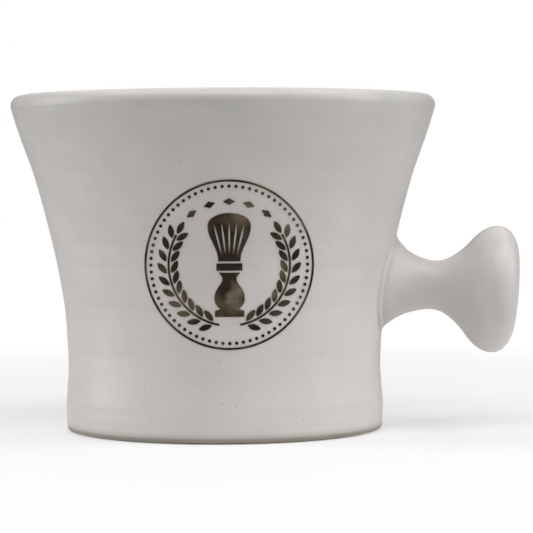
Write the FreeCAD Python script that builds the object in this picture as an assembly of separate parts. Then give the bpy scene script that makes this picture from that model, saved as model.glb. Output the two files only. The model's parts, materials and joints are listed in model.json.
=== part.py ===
"""Ceramic shaving mug with a knob handle: a flared bowl, a hollow knob luted to its wall, glaze and a print.

Frame: millimetres, +Z up. The origin is on the bowl's axis, on the plane that the foot ring stands on.
The handle points along +X and the print faces -Y.
"""

import FreeCAD, Part
import math
import os

Vector = FreeCAD.Vector
ORIGIN = Vector(0, 0, 0)
UP = Vector(0, 0, 1)

# ---- driving dimensions (mm) ----------------------------------------------------------------
# The glazed outside of the wall as (height, radius): nearly straight low down, flared above.
WALL_STATIONS = [
    (1.8, 38.00), (8.3, 38.08), (12.0, 37.74), (16.5, 37.60), (22.5, 37.88), (28.5, 38.28),
    (34.0, 39.10), (40.0, 40.18), (46.0, 41.48), (52.0, 42.95), (57.5, 44.42), (62.6, 45.94),
    (67.5, 47.74), (72.5, 49.48), (77.2, 50.88),
]
# Shallow rings left by turning, as (height, depth, half width).
TURNING_RINGS = [(3.9, 0.13, 1.5), (67.2, 0.06, 1.2), (71.5, 0.07, 1.1), (75.6, 0.04, 1.1)]
RING_STEP = 1.25  # spacing of the profile points that carry the rings
WALL_AT_FOOT, WALL_AT_RIM = 4.6, 4.95  # wall thickness measured level, glaze included

RIM_R, RIM_Z, RIM_ROLL = 48.57, 77.86, 2.4  # centre of the rim's round edge, and its radius
RIM_OUTER, RIM_CREST, RIM_INNER = -16.5, 90.0, 164.0  # degrees round it: outside, top, inside

FLOOR_Z = 7.2  # glazed floor inside the bowl
FLOOR_CORNER = 9.0  # radius between the floor and the wall
INNER_FOOT_R = 33.0  # inside radius where the floor's corner meets the wall
INNER_HEIGHTS = [24.0, 32.0, 40.0, 48.0, 56.0, 64.0, 71.0]

FOOT_ROUND = 1.45  # clay radius of the foot's outside edge; the glaze adds its thickness
FOOT_INNER_R = 33.4  # inside edge of the bare foot ring
RECESS_Z, RECESS_SLOPE = 1.9, 1.6  # clay face under the floor, and the run of the slope to it
GLAZE = 0.35  # coat on the outside, the inside and the handle
GLAZE_END = -38.0  # degrees round the foot's edge where the outer glaze was wiped away
RECESS_GLAZE = 0.30

# The handle: its line leaves the wall and levels out towards the knob.
ROOT_TILT, KNOB_TILT = 3.2, 4.3  # degrees below level, at the wall and from the neck outwards
ROOT_TO_NECK = 11.0
NECK_X, NECK_Z = 50.3, 34.4
# Glazed outlines as (distance from the wall along that line, radius): the bead of slip round the root,
# ending inside the handle, then the handle's own flare, neck, knob and flat end.
BEAD_STATIONS = [
    (-0.1, 14.05), (0.42, 13.70), (0.75, 12.85), (0.46, 12.05), (0.14, 11.50), (0.35, 10.75),
    (1.0, 9.40), (1.6, 8.00),
]
# The bead stands proud at the handle's sides only. Above and below, its outer stations sink to these
# distances. Its ends are heights from the handle's line, as shares of its radius, and so is its fade.
BEAD_SUNK = (-0.25, -0.20, -0.10, 0.03)
BEAD_TOP_END, BEAD_LOW_END, BEAD_FADE = 0.85, -1.02, 0.35
HANDLE_STATIONS = [
    (0.0, 11.50), (1.1, 10.15), (2.4, 9.10), (4.2, 7.85), (6.4, 6.88), (8.7, 6.20), (11.0, 5.90),
    (13.66, 6.34), (15.86, 7.60), (18.06, 9.45), (20.06, 11.70), (22.06, 13.70), (24.06, 14.90),
    (26.06, 15.32), (27.8, 15.00), (29.30, 13.90), (30.30, 12.30), (30.80, 10.60), (30.93, 8.99),
    (31.0, 7.34),
]
SADDLE_REACH = 11.0  # over this distance the rings stop following the round of the wall
ROOT_DEPTHS = (7.0, 4.5, 2.5, 1.2)  # rings that draw the root on into the wall, where it is cut to its face
RING_POINTS = 24
SLIP = 0.5  # slip between the handle and the wall
# The hollow of the cast knob, as (distance beyond the neck, radius), and the bore to the root.
HOLLOW_STATIONS = [
    (1.5, 2.1), (3.6, 2.7), (5.8, 4.3), (8.5, 7.2), (11.3, 9.9), (13.7, 11.1), (15.5, 10.4), (16.7, 8.0),
]
BORE_BACK = 14.0  # the bore runs back from the neck past the root's face

# The fired print: its thickness, its centre and outside radius, and its motifs as (x, z) from there.
PRINT = 0.10
PRINT_X, PRINT_Z, PRINT_R = 1.2, 40.75, 19.2
PRINT_SWEEP = 76.0  # degrees of the wall that carry it
PRINT_LOW, PRINT_HIGH, PRINT_STEPS = 20.0, 61.5, 10  # heights of the wall that carry it
LINE = 0.42  # width of a printed line
DOT_LINE_R, DOT_R, DOTS = 17.75, 0.36, 72
SPRIG_R, SPRIG_START, SPRIG_END = 13.7, -80.0, 30.0  # stem of the right sprig, in degrees from +X
LEAVES, LEAF_LENGTH, LEAF_WIDTH, LEAF_SPREAD = 10, 3.1, 1.3, 34.0  # on each side of the stem
LEAF_GAP, TIP_STEP = 0.55, 1.5  # from the stem's line to a leaf, and degrees on to the tip's leaf
LOZENGE_R, LOZENGE_ANGLES = 14.3, (54.0, 72.0, 90.0, 108.0, 126.0)
LOZENGE_LENGTH, LOZENGE_WIDTH = 2.7, 1.5
BRISTLE_SIDE = [(2.5, 0.9), (3.3, 4.2), (4.7, 7.6), (4.6, 9.8), (2.8, 11.2), (0.0, 11.7)]
SLITS, SLIT_FAN, SLIT_WIDTH, SLIT_LENGTH = 5, 7.0, 0.45, 7.4  # degrees apart, and the size of each
SLIT_FOCUS, SLIT_FROM_FOCUS = -4.5, 7.0  # height of the point that they fan out from, and their start
COLLAR_HALF, COLLAR_LOW, COLLAR_HIGH = 2.9, -1.2, 0.4
BRUSH_HANDLE_SIDE = [(2.4, -1.7), (1.6, -3.4), (2.9, -5.6), (3.4, -7.7), (2.0, -9.9)]
BRUSH_BASE = [(2.0, -9.9), (3.3, -10.4), (3.3, -11.7)]


# ---- small tools ----------------------------------------------------------------------------
def on_arc(centre, radius, degrees):
    a = math.radians(degrees)
    return centre[0] + radius * math.cos(a), centre[1] + radius * math.sin(a)


def flat_edge(*points):
    """Edge in the XZ plane through (x, z) points: a line for two, a smooth curve for more."""
    vectors = [Vector(x, 0, z) for x, z in points]
    if len(vectors) == 2:
        return Part.LineSegment(*vectors).toShape()
    curve = Part.BSplineCurve()
    curve.interpolate(vectors)
    return curve.toShape()


def flat_arc(centre, radius, start, end):
    middle = (start + end) / 2
    three = [Vector(x, 0, z) for x, z in (on_arc(centre, radius, d) for d in (start, middle, end))]
    return Part.Arc(*three).toShape()


def flat_polygon(points):
    return [flat_edge(a, b) for a, b in zip(points, points[1:] + points[:1])]


def flat_face(edges):
    return Part.Face(Part.Wire(Part.__sortEdges__(edges)))


def turned(edges, sweep=360.0, start=0.0):
    """Solid of revolution about the bowl's axis from the edges of a closed profile."""
    face = flat_face(edges)
    face.rotate(ORIGIN, UP, start)
    return face.revolve(ORIGIN, UP, sweep)


# ---- the wall's shape -----------------------------------------------------------------------
WALL = Part.BSplineCurve()
WALL.interpolate([Vector(r, 0, z) for z, r in WALL_STATIONS])
FOOT_TOP = WALL_STATIONS[0][0]
RIM_AT = (RIM_R, RIM_Z)
CORNER_AT = (INNER_FOOT_R - FLOOR_CORNER, FLOOR_Z + FLOOR_CORNER)


def wall_radius(height):
    """Radius of the plain wall at a height. The curve only rises, so halving its range finds it."""
    low, high = WALL.FirstParameter, WALL.LastParameter
    for _ in range(40):
        middle = (low + high) / 2
        if WALL.value(middle).z < height:
            low = middle
        else:
            high = middle
    return WALL.value(low).x


def outside(height):
    """Glazed outside radius, with the turning rings."""
    rings = sum(d * math.exp(-(((height - z) / w) ** 2)) for z, d, w in TURNING_RINGS)
    return wall_radius(height) - rings


def outside_point(height, inset):
    """Point of the wall's outside, set in by a distance square to it."""
    slope = (outside(height + 0.3) - outside(height - 0.3)) / 0.6
    return outside(height) - inset * math.hypot(1, slope), height


def outer_edge(inset):
    """The wall's outside from the foot up to the rim, set in by a distance, and its two ends."""
    low = (outside(FOOT_TOP) - inset, FOOT_TOP)
    top = on_arc(RIM_AT, RIM_ROLL - inset, RIM_OUTER)
    count = round((top[1] - FOOT_TOP) / RING_STEP)
    heights = [FOOT_TOP + (top[1] - FOOT_TOP) * i / count for i in range(1, count)]
    return flat_edge(low, *[outside_point(z, inset) for z in heights], top), low, top


def inner_edges(inset):
    """Inside of the bowl from the rim down to the axis, set into the clay by a distance."""
    points = [(INNER_FOOT_R + inset, CORNER_AT[1])]
    for z in INNER_HEIGHTS:
        share = (z - CORNER_AT[1]) / (RIM_Z - CORNER_AT[1])
        wall = WALL_AT_FOOT + (WALL_AT_RIM - WALL_AT_FOOT) * share
        points.append((wall_radius(z) - wall + inset, z))
    radius = FLOOR_CORNER + inset
    return [
        flat_edge(*points, on_arc(RIM_AT, RIM_ROLL - inset, RIM_INNER)),
        flat_arc(CORNER_AT, radius, -90, 0),
        flat_edge(on_arc(CORNER_AT, radius, -90), (0, FLOOR_Z - inset)),
    ]


FOOT_AT = (outside(FOOT_TOP) - GLAZE - FOOT_ROUND, FOOT_ROUND)  # centre of the foot's round edge


# ---- the bowl and its glaze -----------------------------------------------------------------
def bowl():
    """Fired clay: wall, floor and the bare foot ring."""
    wall, wall_low, _ = outer_edge(GLAZE)
    recess = (FOOT_INNER_R - RECESS_SLOPE, RECESS_Z)
    return turned([
        flat_arc(RIM_AT, RIM_ROLL - GLAZE, RIM_OUTER, RIM_INNER),
        *inner_edges(GLAZE),
        flat_edge((0, FLOOR_Z - GLAZE), (0, RECESS_Z)),
        flat_edge((0, RECESS_Z), recess),
        flat_edge(recess, (FOOT_INNER_R, 0)),
        flat_edge((FOOT_INNER_R, 0), (FOOT_AT[0], 0)),
        flat_arc(FOOT_AT, FOOT_ROUND, -90, 0),
        flat_edge(on_arc(FOOT_AT, FOOT_ROUND, 0), wall_low),
        wall,
    ])


def outer_glaze(handle):
    """Coat on the outside, from its wiped edge on the foot up over the rim to the crest."""
    edges = [
        flat_edge(on_arc(FOOT_AT, FOOT_ROUND, GLAZE_END), on_arc(FOOT_AT, FOOT_ROUND + GLAZE, GLAZE_END)),
        flat_edge(on_arc(RIM_AT, RIM_ROLL, RIM_CREST), on_arc(RIM_AT, RIM_ROLL - GLAZE, RIM_CREST)),
    ]
    for inset in (0, GLAZE):
        radius = FOOT_ROUND + GLAZE - inset
        wall, wall_low, _ = outer_edge(inset)
        edges += [
            flat_arc(FOOT_AT, radius, GLAZE_END, 0),
            flat_edge(on_arc(FOOT_AT, radius, 0), wall_low),
            wall,
            flat_arc(RIM_AT, RIM_ROLL - inset, RIM_OUTER, RIM_CREST),
        ]
    return turned(edges).cut(handle)


def inner_glaze():
    """Coat on the inside, from the rim's crest down the wall and over the floor."""
    edges = [
        flat_edge(on_arc(RIM_AT, RIM_ROLL, RIM_CREST), on_arc(RIM_AT, RIM_ROLL - GLAZE, RIM_CREST)),
        flat_edge((0, FLOOR_Z), (0, FLOOR_Z - GLAZE)),
    ]
    for inset in (0, GLAZE):
        edges += [flat_arc(RIM_AT, RIM_ROLL - inset, RIM_CREST, RIM_INNER), *inner_edges(inset)]
    return turned(edges)


def foot_recess_glaze():
    """Coat on the recessed underside, inside the bare foot ring."""
    low = RECESS_Z - RECESS_GLAZE
    high_r = FOOT_INNER_R - RECESS_SLOPE
    low_r = FOOT_INNER_R - RECESS_SLOPE * low / RECESS_Z
    return turned(flat_polygon([(0, RECESS_Z), (high_r, RECESS_Z), (low_r, low), (0, low)]))


def wall_block(inset):
    """Everything inside the wall's outer face, set in by a distance: what the handle is cut to."""
    wall, low, top = outer_edge(inset)
    top_axis, low_axis = (0, top[1]), (0, low[1])
    return turned([wall, flat_edge(top, top_axis), flat_edge(top_axis, low_axis), flat_edge(low_axis, low)])


# ---- the handle -----------------------------------------------------------------------------
def eased(share):
    """Smooth step from 0 to 1."""
    share = min(max(share, 0.0), 1.0)
    return share * share * (3 - 2 * share)


def tilt_at(distance):
    """Tilt of the handle's line below level: it eases from the root to the neck."""
    return math.radians(ROOT_TILT + (KNOB_TILT - ROOT_TILT) * eased(distance / ROOT_TO_NECK))


def line_at(distance):
    """Point on the handle's line, stepped out or back from the neck along its tilt."""
    steps = 40
    step = (distance - ROOT_TO_NECK) / steps
    x, z = NECK_X, NECK_Z
    for i in range(steps):
        a = tilt_at(ROOT_TO_NECK + (i + 0.5) * step)
        x += step * math.cos(a)
        z -= step * math.sin(a)
    return x, z


def saddle_at(distance):
    """How far a ring follows the round of the wall: fully at the root, not at either flat end."""
    if distance > 0:
        return 1 - eased(distance / SADDLE_REACH)
    return eased((distance + ROOT_DEPTHS[0]) / (ROOT_DEPTHS[0] - 1))


def sunk_share(up):
    """How far the bead has sunk in, at a height from the handle's line, as a share of its radius."""
    return 1 - eased(min(BEAD_TOP_END - up, up - BEAD_LOW_END) / BEAD_FADE)


def ring(distance, radius, saddle, sink):
    """Closed curve round the handle: a tilted circle, bent to the round of the wall by a share.

    It draws back towards the wall by up to the sink, above and below the handle.
    """
    x, z = line_at(distance)
    a = tilt_at(distance)
    root_x, root_z = line_at(0)
    points = []
    for i in range(RING_POINTS):
        turn = 2 * math.pi * i / RING_POINTS
        side, up = radius * math.sin(turn), math.cos(turn)
        rise = radius * up
        point_z = z + rise * math.cos(a)
        square_x = root_x + (point_z - root_z) * math.tan(math.radians(ROOT_TILT))
        wall_x = math.sqrt(outside(point_z) ** 2 - side**2)
        bent_x = x + rise * math.sin(a) + saddle * (wall_x - square_x)
        points.append(Vector(bent_x - sink * sunk_share(up), side, point_z))
    curve = Part.BSplineCurve()
    curve.interpolate(points, PeriodicFlag=True)
    return Part.Wire([curve.toShape()])


def lofted(stations, inset, sinks=None):
    """Solid round the handle's line through the stations, set in square to their outline."""
    last = len(stations) - 1
    sinks = sinks or [0] * len(stations)
    inside = []
    for i, (distance, radius) in enumerate(stations):
        before, after = stations[max(i - 1, 0)], stations[min(i + 1, last)]
        run, rise = after[0] - before[0], after[1] - before[1]
        length = math.hypot(run, rise)
        inside.append((distance + inset * rise / length, radius - inset * run / length))
    rings = [ring(-depth, inside[0][1], saddle_at(-depth), 0) for depth in ROOT_DEPTHS]
    for (distance, radius), sink in zip(inside[:-1], sinks):
        rings.append(ring(distance, radius, saddle_at(distance), sink))
    rings.append(ring(stations[-1][0] - inset, inside[-1][1], 0, 0))
    return Part.makeLoft(rings, True, False, False, 3)


def bead(inset):
    """The bead of slip, with its outer stations able to sink in."""
    sinks = [distance - low for (distance, _), low in zip(BEAD_STATIONS, BEAD_SUNK)]
    return lofted(BEAD_STATIONS, inset, sinks + [0] * (len(BEAD_STATIONS) - len(sinks)))


def handle_hollow():
    """Hollow of the cast knob, with the bore that runs back through the neck."""
    bore_r, end = HOLLOW_STATIONS[0][1], HOLLOW_STATIONS[-1]
    solid = turned([
        flat_edge(*[(r, d) for d, r in HOLLOW_STATIONS]),
        flat_edge((end[1], end[0]), (0, end[0])),
        flat_edge((0, end[0]), (0, -BORE_BACK)),
        flat_edge((0, -BORE_BACK), (bore_r, -BORE_BACK)),
        flat_edge((bore_r, -BORE_BACK), (bore_r, HOLLOW_STATIONS[0][0])),
    ])
    solid.rotate(ORIGIN, Vector(0, 1, 0), 90 + KNOB_TILT)
    solid.translate(Vector(NECK_X, 0, NECK_Z))
    return solid


def handle_pieces():
    """The clay handle, the slip that joins it, their glaze, and the room they take from the wall's glaze."""
    clay_wall, slip_wall = wall_block(GLAZE), wall_block(GLAZE - SLIP)
    solid_handle = lofted(HANDLE_STATIONS, GLAZE).cut(slip_wall)
    slip = bead(GLAZE).cut(clay_wall).cut(solid_handle)
    glazed = lofted(HANDLE_STATIONS, 0).cut(clay_wall).fuse(bead(0).cut(clay_wall))
    return solid_handle.cut(handle_hollow()), slip, glazed.cut(solid_handle).cut(slip), glazed


# ---- the fired print ------------------------------------------------------------------------
def across(points):
    """The same outline on the other side of the brush's middle, in the other order."""
    return [(-x, z) for x, z in reversed(points)]


def disc(x, z, radius):
    return Part.Face(Part.Wire([Part.makeCircle(radius, Vector(x, 0, z), Vector(0, 1, 0))]))


def band(radius, width):
    return disc(0, 0, radius + width / 2).cut(disc(0, 0, radius - width / 2))


def lens(length, width):
    """Leaf outline from the origin along +X: two arcs."""
    sag = width / 2
    radius = (length**2 / 4 + sag**2) / (2 * sag)
    half = math.degrees(math.asin(length / 2 / radius))
    middle = length / 2
    return flat_face([
        flat_arc((middle, sag - radius), radius, 90 - half, 90 + half),
        flat_arc((middle, radius - sag), radius, -90 - half, -90 + half),
    ])


def placed(face, x, z, degrees):
    """A copy of a face, turned about the origin in its plane and moved to a point."""
    copy = face.copy()
    copy.rotate(ORIGIN, Vector(0, -1, 0), degrees)
    copy.translate(Vector(x, 0, z))
    return copy


def outer_ring():
    return [band(PRINT_R - LINE / 2, LINE)]


def dot_ring():
    return [disc(*on_arc((0, 0), DOT_LINE_R, 360 * i / DOTS), DOT_R) for i in range(DOTS)]


def lozenges():
    half_l, half_w = LOZENGE_LENGTH / 2, LOZENGE_WIDTH / 2
    lozenge = flat_face(flat_polygon([(half_l, 0), (0, half_w), (-half_l, 0), (0, -half_w)]))
    return [placed(lozenge, *on_arc((0, 0), LOZENGE_R, a), a + 90) for a in LOZENGE_ANGLES]


def right_sprig():
    """Stem that follows the ring, with leaves leaning away on both its sides and one at its tip."""
    stem_ends = [on_arc((0, 0), 2 * SPRIG_R, a) for a in (SPRIG_START, SPRIG_END)]
    wedge = flat_face(flat_polygon([(0, 0), stem_ends[0], (2 * SPRIG_R, -SPRIG_R), stem_ends[1]]))
    leaf = lens(LEAF_LENGTH, LEAF_WIDTH)
    faces = [band(SPRIG_R, LINE).common(wedge)]
    for i in range(LEAVES):
        a = SPRIG_START + (SPRIG_END - SPRIG_START) * (i + 0.6) / LEAVES
        for side in (-1, 1):
            radius = SPRIG_R - side * LEAF_GAP
            faces.append(placed(leaf, *on_arc((0, 0), radius, a), a + 90 + side * LEAF_SPREAD))
    return faces + [placed(leaf, *on_arc((0, 0), SPRIG_R, SPRIG_END + TIP_STEP), SPRIG_END + 90)]


def left_sprig():
    return [face.mirror(ORIGIN, Vector(1, 0, 0)) for face in right_sprig()]


def brush_bristles():
    """Domed knot of the brush, with slits that fan up from its root."""
    outline = BRISTLE_SIDE + across(BRISTLE_SIDE)[1:]
    knot = flat_face([flat_edge(*outline), flat_edge(outline[-1], outline[0])])
    slit = lens(SLIT_LENGTH, SLIT_WIDTH)
    slit.translate(Vector(SLIT_FROM_FOCUS, 0, 0))
    for i in range(SLITS):
        turn = 90 + SLIT_FAN * (i - (SLITS - 1) / 2)
        knot = knot.cut(placed(slit, 0, SLIT_FOCUS, turn))
    return [knot]


def brush_collar():
    half, low, high = COLLAR_HALF, COLLAR_LOW, COLLAR_HIGH
    return [flat_face(flat_polygon([(-half, low), (half, low), (half, high), (-half, high)]))]


def brush_handle():
    """Turned handle of the brush, standing on its foot."""
    right, left = BRUSH_HANDLE_SIDE, across(BRUSH_HANDLE_SIDE)
    outline = BRUSH_BASE + across(BRUSH_BASE)
    base = [flat_edge(a, b) for a, b in zip(outline, outline[1:])]
    return [flat_face([flat_edge(*right), flat_edge(*left), flat_edge(left[-1], right[0]), *base])]


def print_skin():
    """Thin sheet over the front of the glazed wall, which the print is cut from."""
    heights = [PRINT_LOW + (PRINT_HIGH - PRINT_LOW) * i / PRINT_STEPS for i in range(PRINT_STEPS + 1)]
    back = [outside_point(z, 0) for z in heights]
    front = [outside_point(z, -PRINT) for z in heights]
    ends = [flat_edge(back[0], front[0]), flat_edge(back[-1], front[-1])]
    return turned([flat_edge(*back), flat_edge(*front), *ends], PRINT_SWEEP, -90 - PRINT_SWEEP / 2)


def printed(faces, skin):
    """Print of flat faces on the wall: each is carried straight back along Y on to the sheet."""
    depth = RIM_R + RIM_ROLL
    solids = []
    for face in faces:
        face.translate(Vector(PRINT_X, -depth, PRINT_Z))
        solids += skin.common(face.extrude(Vector(0, depth, 0))).Solids
    return Part.makeCompound(solids)


# ---- every piece, one file each -------------------------------------------------------------
def build():
    handle, slip, handle_glaze, handle_room = handle_pieces()
    skin = print_skin()
    pieces = {
        "bowl": bowl(),
        "knob_handle": handle,
        "handle_slip_joint": slip,
        "outer_glaze": outer_glaze(handle_room),
        "inner_glaze": inner_glaze(),
        "handle_glaze": handle_glaze,
        "foot_recess_glaze": foot_recess_glaze(),
    }
    brush = (brush_bristles, brush_collar, brush_handle)
    for motif in (outer_ring, dot_ring, lozenges, left_sprig, right_sprig, *brush):
        pieces["print_" + motif.__name__] = printed(motif(), skin)
    return pieces


if __name__ == "__main__":
    os.makedirs("parts", exist_ok=True)
    for name, shape in build().items():
        shape.exportStep(f"parts/{name}.step")
        volumes = [round(solid.Volume, 3) for solid in shape.Solids]
        print(name, "valid" if shape.isValid() else "NOT VALID", len(volumes), "solids", sum(volumes), "mm3")
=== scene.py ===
"""Looks of the ceramic shaving mug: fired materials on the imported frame, in a plain pale studio."""

import json
import math

import bpy
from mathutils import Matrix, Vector

# Lengths are in metres. Colours are linear red, green, blue and alpha.
RIM_CREST_Z = 0.0802
FOOT_EDGE_Z = 0.0016
MUG_MIDDLE = (0, 0, 0.045)
FLOOR_Z = -0.00002  # just under the foot, so that no two faces lie in one plane
FLOOR_RADIUS = 6
SOFTBOX_DISTANCE, SOFTBOX_WIDTH, SOFTBOX_HEIGHT = 0.9, 0.35, 0.6
CAMERA_SPOT = (0, -0.565, 0.0584)
CAMERA_ANGLES = (88.04, 0.3, -1.05)  # in degrees, about X, Y and Z
LENS, SENSOR_WIDTH = 158, 36  # in millimetres

# The glaze's small features. A spacing is between the cells that may each hold one.
SPECK_SPACING, SPECK_SHARE, SPECK_RADIUS, SPECK_STRENGTH = 0.0038, 0.30, 0.00026, 0.4
PINHOLE_SPACING, PINHOLE_SHARE, PINHOLE_RADIUS, PINHOLE_DEPTH = 0.0026, 0.45, 0.00022, 0.00008
TURNING_SPACING, TURNING_DEPTH = 0.0055, 0.00045
CREASE_REACH = 0.003

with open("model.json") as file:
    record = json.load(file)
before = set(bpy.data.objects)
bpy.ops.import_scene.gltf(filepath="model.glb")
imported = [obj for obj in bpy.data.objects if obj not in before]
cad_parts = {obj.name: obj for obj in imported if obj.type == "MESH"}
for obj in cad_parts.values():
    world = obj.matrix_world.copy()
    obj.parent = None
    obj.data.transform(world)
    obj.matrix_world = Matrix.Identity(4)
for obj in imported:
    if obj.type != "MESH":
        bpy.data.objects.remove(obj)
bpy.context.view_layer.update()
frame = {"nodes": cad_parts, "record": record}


# ---- node helpers ---------------------------------------------------------------------------
def new_material(name):
    """New material, with its node tree and its main shader."""
    material = bpy.data.materials.new(name)
    material.use_nodes = True
    tree = material.node_tree
    return material, tree, tree.nodes["Principled BSDF"]


def feed(tree, socket, value):
    """Links a socket to another node's output, or sets it to a plain value."""
    if isinstance(value, bpy.types.NodeSocket):
        tree.links.new(value, socket)
    else:
        socket.default_value = value


def place(tree):
    """Point on the surface, in the shared frame."""
    return tree.nodes.new("ShaderNodeNewGeometry").outputs["Position"]


def height_of(tree, point):
    split = tree.nodes.new("ShaderNodeSeparateXYZ")
    feed(tree, split.inputs[0], point)
    return split.outputs["Z"]


def noise(tree, point, size, detail=2.0):
    """Noise with features of a given size, from 0 to 1."""
    node = tree.nodes.new("ShaderNodeTexNoise")
    node.inputs["Scale"].default_value = 1 / size
    node.inputs["Detail"].default_value = detail
    feed(tree, node.inputs["Vector"], point)
    return node.outputs["Fac"]


def height_noise(tree, height, size, detail=2.0):
    """Noise that changes with the height only, so it draws level rings."""
    node = tree.nodes.new("ShaderNodeTexNoise")
    node.noise_dimensions = "1D"
    node.inputs["Scale"].default_value = 1 / size
    node.inputs["Detail"].default_value = detail
    feed(tree, node.inputs["W"], height)
    return node.outputs["Fac"]


def remap(tree, value, low, high, low_to, high_to):
    """Straight change of range, held at both ends."""
    node = tree.nodes.new("ShaderNodeMapRange")
    feed(tree, node.inputs["Value"], value)
    for name, number in (("From Min", low), ("From Max", high), ("To Min", low_to), ("To Max", high_to)):
        node.inputs[name].default_value = number
    return node.outputs["Result"]


def mix(tree, share, first, second):
    """Mix of two colours, from the first at share 0 to the second at share 1."""
    node = tree.nodes.new("ShaderNodeMix")
    node.data_type = "RGBA"
    feed(tree, node.inputs[0], share)
    feed(tree, node.inputs[6], first)
    feed(tree, node.inputs[7], second)
    return node.outputs[2]


def calculate(tree, operation, first, second):
    """Result of a math operation on two values."""
    node = tree.nodes.new("ShaderNodeMath")
    node.operation = operation
    feed(tree, node.inputs[0], first)
    feed(tree, node.inputs[1], second)
    return node.outputs[0]


def bump(tree, height, depth, under=None):
    """Surface relief of a given depth, laid over another relief if there is one."""
    node = tree.nodes.new("ShaderNodeBump")
    node.inputs["Distance"].default_value = depth
    feed(tree, node.inputs["Height"], height)
    if under is not None:
        feed(tree, node.inputs["Normal"], under)
    return node.outputs["Normal"]


# ---- materials ------------------------------------------------------------------------------
# Painted shade and light: the first colour is the glaze shaded at the rim, the second the glaze lit
# towards the foot.
GLAZE_SHADED_COOL = (0.545, 0.532, 0.505, 1)
GLAZE_LIT_WARM = (0.760, 0.706, 0.684, 1)
GLAZE_GRAIN = (0.540, 0.515, 0.490, 1)
GLAZE_THIN = (0.560, 0.490, 0.420, 1)
# Painted shade in creases and by the floor, partly also glaze gathered thick in the creases.
GLAZE_POOLED_AND_SHADED = (0.300, 0.270, 0.225, 1)
IRON_SPECK = (0.160, 0.120, 0.090, 1)
CLAY_DARK = (0.560, 0.500, 0.420, 1)
CLAY_LIGHT = (0.700, 0.650, 0.570, 1)
CLAY_GRIT = (0.380, 0.300, 0.230, 1)
BRONZE_DARK = (0.022, 0.014, 0.009, 1)
BRONZE_LIGHT = (0.120, 0.092, 0.062, 1)
BRONZE_WORN = (0.300, 0.240, 0.180, 1)
FLOOR_COLOUR = (0.86, 0.86, 0.86, 1)


def spots(tree, point, spacing, share, radius):
    """Round spots where the surface cuts small balls, one in each of a share of the cells."""
    cells = tree.nodes.new("ShaderNodeTexVoronoi")
    cells.inputs["Scale"].default_value = 1 / spacing
    feed(tree, cells.inputs["Vector"], point)
    picked = calculate(tree, "LESS_THAN", cells.outputs["Color"], share)
    inside = remap(tree, cells.outputs["Distance"], 0.6 * radius / spacing, radius / spacing, 1, 0)
    return calculate(tree, "MULTIPLY", picked, inside)


def thin_edges(tree, point, height):
    """Where the glaze ran thin: a broken line along the rim's crest and along the foot's edge."""
    crest = remap(tree, height, RIM_CREST_Z - 0.0006, RIM_CREST_Z, 0, 1)
    foot = remap(tree, height, 0.0004, FOOT_EDGE_Z, 1, 0)
    edge = calculate(tree, "MAXIMUM", crest, foot)
    broken = remap(tree, noise(tree, point, 0.003, 3), 0.40, 0.60, 0.1, 0.7)
    return calculate(tree, "MULTIPLY", edge, broken)


def pooled_and_shaded(tree):
    """Painted shade where other surfaces are near: in the creases, such as the groove round the handle's
    root, and along the foot by the floor; partly also glaze that gathered thick in the creases.
    """
    closeness = tree.nodes.new("ShaderNodeAmbientOcclusion")
    closeness.inputs["Distance"].default_value = CREASE_REACH
    return remap(tree, closeness.outputs["AO"], 0.65, 0.96, 0.9, 0)


def glaze_colour(tree, point, height):
    """Cool white painted in shade at the rim and in light towards the foot, with mottling, grain, specks
    and painted crease shade.
    """
    # Painted light: the glaze is painted lighter towards the foot and darker at the rim, as the floor's
    # light falls.
    painted_lower_light = remap(tree, height, 0, RIM_CREST_Z, 0.85, 0)
    mottle = remap(tree, noise(tree, point, 0.012, 4), 0.30, 0.70, 0, 0.25)
    colour = mix(tree, calculate(tree, "ADD", painted_lower_light, mottle), GLAZE_SHADED_COOL, GLAZE_LIT_WARM)
    grain = remap(tree, noise(tree, point, 0.0005), 0.35, 0.75, 0, 0.22)
    colour = mix(tree, grain, colour, GLAZE_GRAIN)
    colour = mix(tree, thin_edges(tree, point, height), colour, GLAZE_THIN)
    # Painted shade: darker in the creases and along the foot by the floor, partly also thick glaze in
    # the creases.
    colour = mix(tree, pooled_and_shaded(tree), colour, GLAZE_POOLED_AND_SHADED)
    specks = spots(tree, point, SPECK_SPACING, SPECK_SHARE, SPECK_RADIUS)
    return mix(tree, calculate(tree, "MULTIPLY", specks, SPECK_STRENGTH), colour, IRON_SPECK)


def white_glaze(name, turning):
    """Warm white satin glaze with a fine and a broad unevenness, and pinholes.

    The turning is the depth of the level rings that the potter's wheel left under the glaze.
    """
    material, tree, shader = new_material(name)
    point = place(tree)
    height = height_of(tree, point)
    feed(tree, shader.inputs["Base Color"], glaze_colour(tree, point, height))
    gloss = noise(tree, point, 0.004, 3)
    feed(tree, shader.inputs["Roughness"], remap(tree, gloss, 0.3, 0.7, 0.38, 0.48))
    relief = bump(tree, noise(tree, point, 0.0012), 0.00001)
    relief = bump(tree, noise(tree, point, 0.010), 0.00012, relief)
    pinholes = spots(tree, point, PINHOLE_SPACING, PINHOLE_SHARE, PINHOLE_RADIUS)
    relief = bump(tree, pinholes, -PINHOLE_DEPTH, relief)
    if turning > 0:
        relief = bump(tree, height_noise(tree, height, TURNING_SPACING, 1), turning, relief)
    feed(tree, shader.inputs["Normal"], relief)
    return material


def fired_clay():
    """Bare fired clay: matt and warm, with sandy grit."""
    material, tree, shader = new_material("fired_clay")
    point = place(tree)
    colour = mix(tree, noise(tree, point, 0.006, 4), CLAY_DARK, CLAY_LIGHT)
    grit = remap(tree, noise(tree, point, 0.0004, 3), 0.58, 0.68, 0, 0.4)
    feed(tree, shader.inputs["Base Color"], mix(tree, grit, colour, CLAY_GRIT))
    roughness = remap(tree, noise(tree, point, 0.0008, 3), 0.3, 0.7, 0.75, 0.95)
    feed(tree, shader.inputs["Roughness"], roughness)
    feed(tree, shader.inputs["Normal"], bump(tree, noise(tree, point, 0.0005, 4), 0.00008))
    return material


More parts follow.
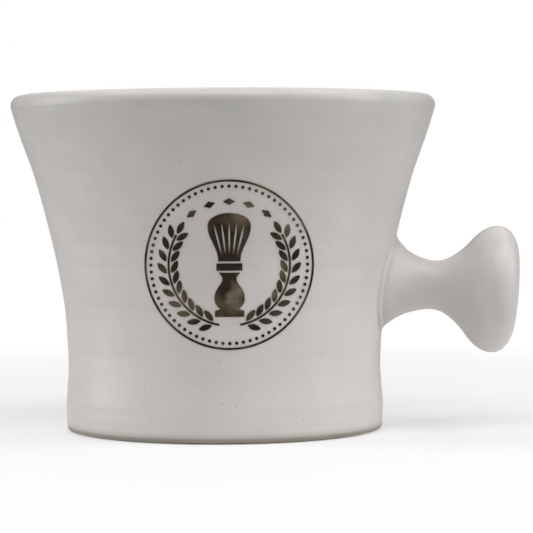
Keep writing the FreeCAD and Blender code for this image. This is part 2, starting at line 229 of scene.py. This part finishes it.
def bronze_print():
    """Fired bronze lustre: dark metal with browner patches, a few worn spots and a wavy sheen."""
    material, tree, shader = new_material("bronze_print")
    point = place(tree)
    browner = remap(tree, noise(tree, point, 0.009, 2), 0.45, 0.68, 0, 1)
    colour = mix(tree, browner, BRONZE_DARK, BRONZE_LIGHT)
    worn = remap(tree, noise(tree, point, 0.012, 3), 0.60, 0.72, 0, 0.7)
    colour = mix(tree, worn, colour, BRONZE_WORN)
    grain = remap(tree, noise(tree, point, 0.0004), 0.45, 0.7, 0, 0.3)
    feed(tree, shader.inputs["Base Color"], mix(tree, grain, colour, BRONZE_DARK))
    roughness = remap(tree, noise(tree, point, 0.0012, 3), 0.3, 0.7, 0.26, 0.42)
    feed(tree, shader.inputs["Roughness"], roughness)
    relief = bump(tree, noise(tree, point, 0.0006), 0.00001)
    relief = bump(tree, noise(tree, point, 0.007), 0.00010, relief)
    feed(tree, shader.inputs["Normal"], relief)
    shader.inputs["Metallic"].default_value = 0.85
    return material


def dress():
    """Gives every node the material of its slot. The handle wasn't turned, so its glaze has no rings."""
    turned = white_glaze("white_glaze_turned", TURNING_DEPTH)
    finishes = {"white_glaze": turned, "fired_clay": fired_clay(), "bronze_print": bronze_print()}
    for part in frame["record"]["subparts"]:
        node = frame["nodes"][part["node"]]
        node.data.materials.clear()
        node.data.materials.append(finishes[part["material_slot"]])
    handle = frame["nodes"]["handle_glaze"]
    handle.data.materials[0] = white_glaze("white_glaze_cast", 0)


# ---- studio ---------------------------------------------------------------------------------
def floor():
    """Pale floor: to the camera it is part plain white near the mug and all plain white away from it."""
    bpy.ops.mesh.primitive_circle_add(
        vertices=96, radius=FLOOR_RADIUS, fill_type="NGON", location=(0, 0, FLOOR_Z)
    )
    ground = bpy.context.object
    ground.name = "floor"
    material, tree, shader = new_material("pale_floor")
    shader.inputs["Base Color"].default_value = FLOOR_COLOUR
    shader.inputs["Roughness"].default_value = 0.9
    away = tree.nodes.new("ShaderNodeVectorMath")
    away.operation = "LENGTH"
    feed(tree, away.inputs[0], place(tree))
    seen = tree.nodes.new("ShaderNodeLightPath").outputs["Is Camera Ray"]
    share = calculate(tree, "MULTIPLY", remap(tree, away.outputs["Value"], 0.05, 0.30, 0.5, 1), seen)
    white = tree.nodes.new("ShaderNodeEmission")
    blend = tree.nodes.new("ShaderNodeMixShader")
    feed(tree, blend.inputs[0], share)
    feed(tree, blend.inputs[1], shader.outputs["BSDF"])
    feed(tree, blend.inputs[2], white.outputs["Emission"])
    feed(tree, tree.nodes["Material Output"].inputs["Surface"], blend.outputs["Shader"])
    ground.data.materials.append(material)


def area_light(name, spot, aim, width, height, power):
    """Soft rectangular light at a spot, turned towards an aim. The power is in watts."""
    light = bpy.data.lights.new(name, "AREA")
    light.shape = "RECTANGLE"
    light.size = width
    light.size_y = height
    light.energy = power
    lamp = bpy.data.objects.new(name, light)
    lamp.location = spot
    lamp.rotation_euler = (Vector(aim) - Vector(spot)).to_track_quat("-Z", "Y").to_euler()
    lamp.visible_camera = False
    bpy.context.scene.collection.objects.link(lamp)


def softbox(name, azimuth, elevation, power):
    """Tall light aimed at the mug's middle. The azimuth counts from the camera's side towards +X."""
    turn = math.radians(azimuth)
    rise = math.radians(elevation)
    level = SOFTBOX_DISTANCE * math.cos(rise)
    height = MUG_MIDDLE[2] + SOFTBOX_DISTANCE * math.sin(rise)
    spot = (level * math.sin(turn), -level * math.cos(turn), height)
    area_light(name, spot, MUG_MIDDLE, SOFTBOX_WIDTH, SOFTBOX_HEIGHT, power)


def floor_light(name, x, y, height, side, power):
    """Square light straight above a place on the floor, which throws its light back at the mug."""
    area_light(name, (x, y, height), (x, y, 0), side, side, power)


def lights():
    """A tall softbox at each side, and square lights that shine down on the floor round the mug."""
    softbox("left_softbox", -96, 9, 3.1)
    softbox("right_softbox", 79, 22, 2.6)
    floor_light("front_floor_light", 0, -0.22, 0.4, 0.25, 0.95)
    floor_light("left_floor_light", -0.2, -0.05, 0.35, 0.15, 0.43)
    floor_light("right_floor_light", 0.22, -0.05, 0.35, 0.15, 0.48)
    floor_light("back_floor_light", 0, 0.9, 0.8, 1.0, 4.0)


def surroundings():
    """White to the camera, dark to everything else, so only the studio lights shape the mug."""
    world = bpy.data.worlds.new("surroundings")
    bpy.context.scene.world = world
    world.use_nodes = True
    tree = world.node_tree
    background = tree.nodes["Background"]
    background.inputs["Color"].default_value = (1, 1, 1, 1)
    seen = tree.nodes.new("ShaderNodeLightPath").outputs["Is Camera Ray"]
    feed(tree, background.inputs["Strength"], seen)


def camera():
    """Long lens a little above the middle of the mug, looking almost level at the print."""
    lens = bpy.data.cameras.new("camera")
    lens.lens = LENS
    lens.sensor_width = SENSOR_WIDTH
    viewer = bpy.data.objects.new("camera", lens)
    viewer.location = CAMERA_SPOT
    viewer.rotation_euler = [math.radians(angle) for angle in CAMERA_ANGLES]
    bpy.context.scene.collection.objects.link(viewer)
    bpy.context.scene.camera = viewer


dress()
floor()
lights()
surroundings()
camera()
bpy.context.scene.view_settings.view_transform = "Standard"
